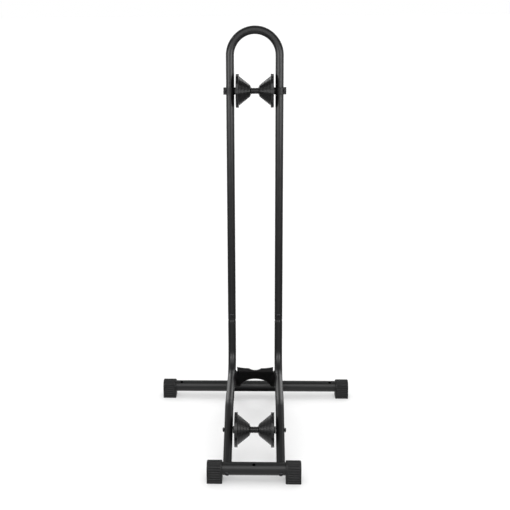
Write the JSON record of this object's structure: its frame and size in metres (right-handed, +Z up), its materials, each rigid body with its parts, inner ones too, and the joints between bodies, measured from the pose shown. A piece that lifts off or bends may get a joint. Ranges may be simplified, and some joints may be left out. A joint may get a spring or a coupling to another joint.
{
  "type": "bicycle floor rack",
  "caption": "Freestanding bicycle floor rack: tall tube hoop on a low railed base, with a notched cradle plate and grooved rollers that guide the wheel.",
  "frame": {"origin": "centre of the overall bounding box in plan, on the floor under the feet", "axes": "+Z up, -Y towards the side that the wheel rolls in from, +X to the right of someone who stands there and faces the rack"},
  "size_m": [0.477, 0.4952, 0.9378],
  "materials": {
    "frame_paint": "satin powder coat",
    "foot_plastic": "matte moulded",
    "roller_plastic": "glossy moulded",
    "collar_plastic": "satin moulded",
    "black_steel": "black oxide",
    "plain_steel": "zinc plated"
  },
  "bodies": {
    "base": {"hoop_tube": "frame_paint", "lower_tube_left": "frame_paint", "lower_tube_right": "frame_paint", "front_bar": "frame_paint", "rear_bar": "frame_paint", "cradle_bracket": "frame_paint", "foot_front_left": "foot_plastic", "foot_front_right": "foot_plastic", "foot_rear_left": "foot_plastic", "foot_rear_right": "foot_plastic", "joint_screw_left": "black_steel", "joint_screw_right": "black_steel", "joint_plug_left": "plain_steel", "joint_plug_right": "plain_steel", "tube_end_plug_left": "plain_steel", "tube_end_plug_right": "plain_steel", "front_bar_bolt_left": "black_steel", "front_bar_bolt_right": "black_steel", "lower_axle": "plain_steel", "lower_axle_screw_left": "black_steel", "lower_axle_screw_right": "black_steel", "lower_spacer_left": "collar_plastic", "lower_spacer_right": "collar_plastic"},
    "lower_roller": {"lower_roller_sleeve": "roller_plastic", "lower_roller_cone_left": "roller_plastic", "lower_roller_cone_right": "roller_plastic"},
    "upper_carriage": {"upper_axle": "plain_steel", "upper_collar_left": "collar_plastic", "upper_collar_right": "collar_plastic", "upper_clamp_screw_left": "black_steel", "upper_clamp_screw_right": "black_steel", "upper_clamp_nut_left": "plain_steel", "upper_clamp_nut_right": "plain_steel"},
    "upper_roller": {"upper_roller_sleeve": "roller_plastic", "upper_roller_cone_left": "roller_plastic", "upper_roller_cone_right": "roller_plastic"}
  },
  "joints": [
    {"name": "lower_roller_spin", "type": "hinge", "parent": "base", "child": "lower_roller", "pos_m": [0, -0.13783, 0.07376], "axis": [1, 0, 0], "continuous": true},
    {"name": "upper_carriage_slide", "type": "slide", "parent": "base", "child": "upper_carriage", "axis": [0, 0, 1], "range_m": [-0.5, 0.05]},
    {"name": "upper_roller_spin", "type": "hinge", "parent": "upper_carriage", "child": "upper_roller", "pos_m": [0, 0.1454, 0.791], "axis": [1, 0, 0], "continuous": true}
  ]
}
